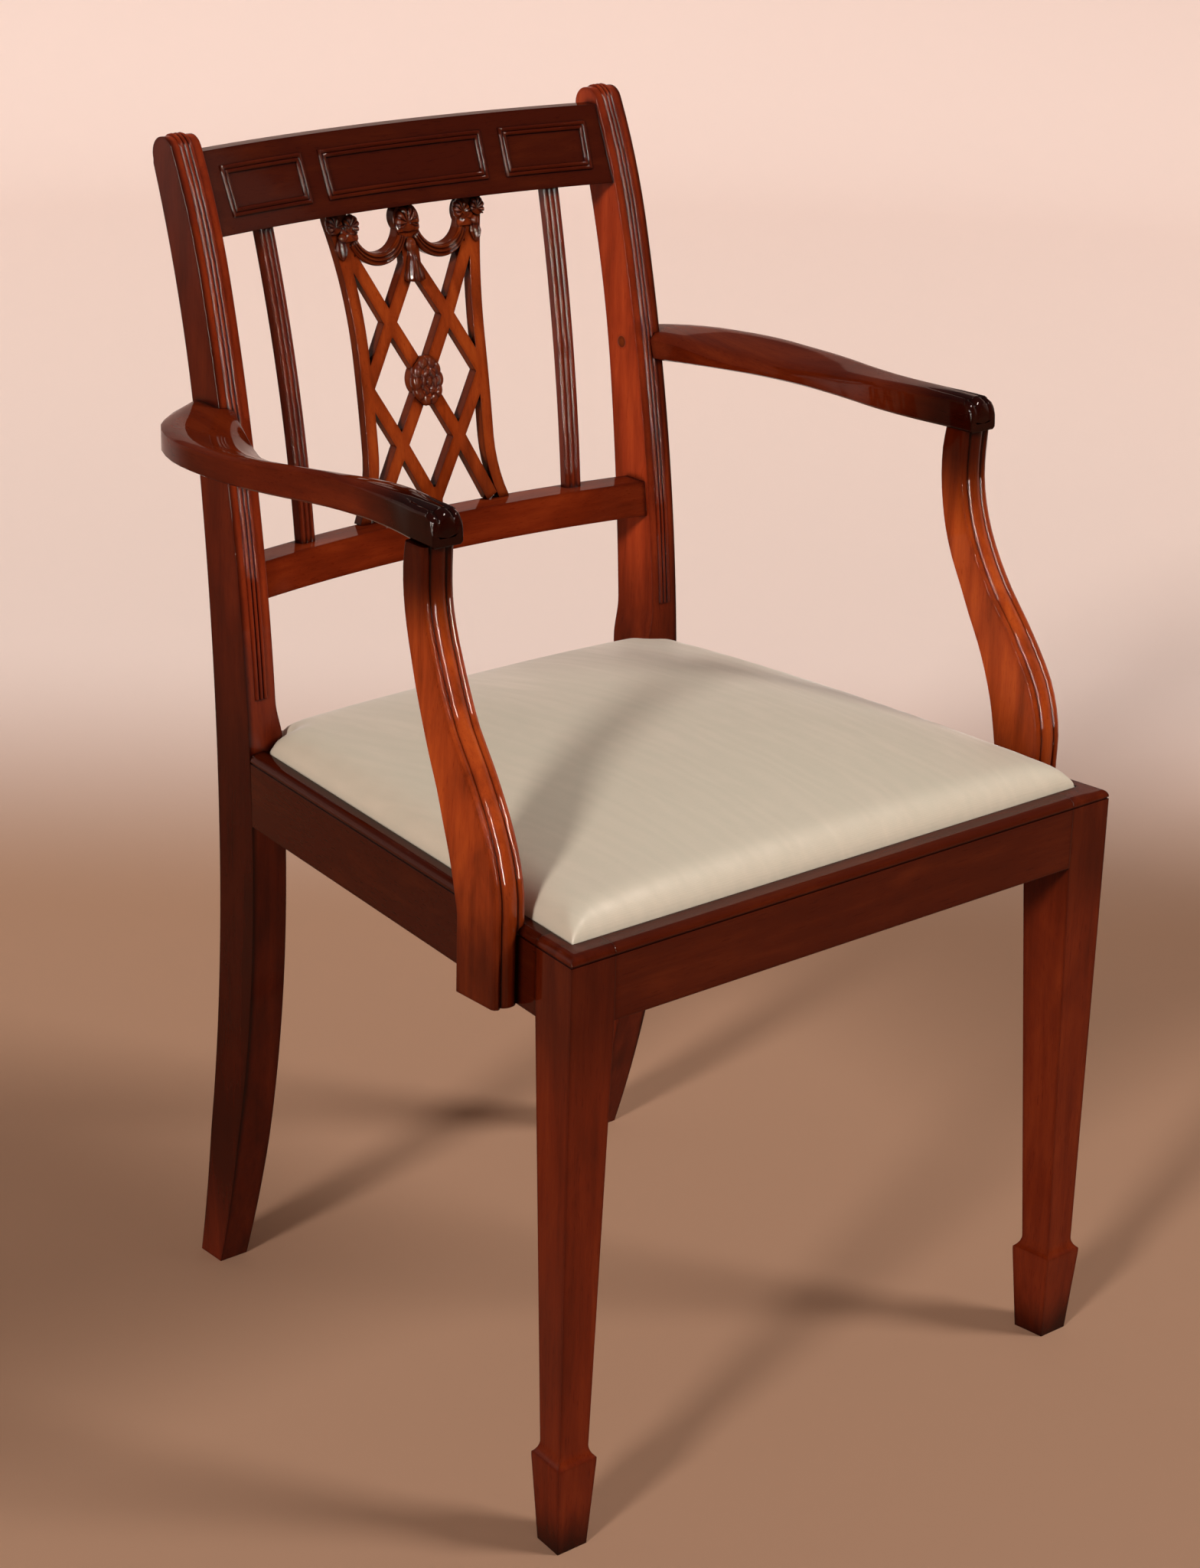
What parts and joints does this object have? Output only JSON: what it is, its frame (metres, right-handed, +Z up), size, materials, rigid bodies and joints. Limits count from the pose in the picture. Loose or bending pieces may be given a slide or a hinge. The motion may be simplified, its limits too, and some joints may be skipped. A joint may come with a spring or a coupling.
{
  "type": "open armchair",
  "caption": "Open armchair with a raked, bowed back, pierced carved splat, shaped arms and a padded drop-in seat on tapered front legs.",
  "frame": {"origin": "on the floor, midway between the arms and midway between the front-most and rear-most points of the chair", "axes": "+X to the sitter's left as seen from the front, +Y towards the back rails, +Z up"},
  "size_m": [0.555, 0.5468, 0.8829],
  "materials": {
    "mahogany": "glossy",
    "beech": "matte",
    "brass": "satin",
    "jute": "matte",
    "hessian": "matte",
    "wadding": "matte",
    "silk": "satin",
    "black_cloth": "matte"
  },
  "bodies": {
    "frame": {"left_front_leg": "mahogany", "right_front_leg": "mahogany", "left_rear_post": "mahogany", "right_rear_post": "mahogany", "front_seat_rail": "mahogany", "back_seat_rail": "mahogany", "left_seat_rail": "mahogany", "right_seat_rail": "mahogany", "crest_rail": "mahogany", "lower_back_rail": "mahogany", "splat": "mahogany", "left_back_bar": "mahogany", "right_back_bar": "mahogany", "left_arm": "mahogany", "right_arm": "mahogany", "left_arm_support": "mahogany", "right_arm_support": "mahogany", "corner_blocks": "beech", "corner_block_screws": "brass", "arm_support_screws": "brass", "arm_dowels": "beech", "arm_screws": "brass", "arm_screw_pellets": "mahogany"},
    "drop_in_seat": {"slip_front_member": "beech", "slip_back_member": "beech", "slip_left_member": "beech", "slip_right_member": "beech", "slip_dowels": "beech", "webbing_lengthwise": "jute", "webbing_crosswise": "jute", "hessian": "hessian", "seat_padding": "wadding", "seat_cover": "silk", "bottom_cloth": "black_cloth"}
  },
  "joints": [
    {"name": "seat_lift", "type": "slide", "parent": "frame", "child": "drop_in_seat", "axis": [0, 0, 1], "range_m": [0, 0.1]}
  ]
}
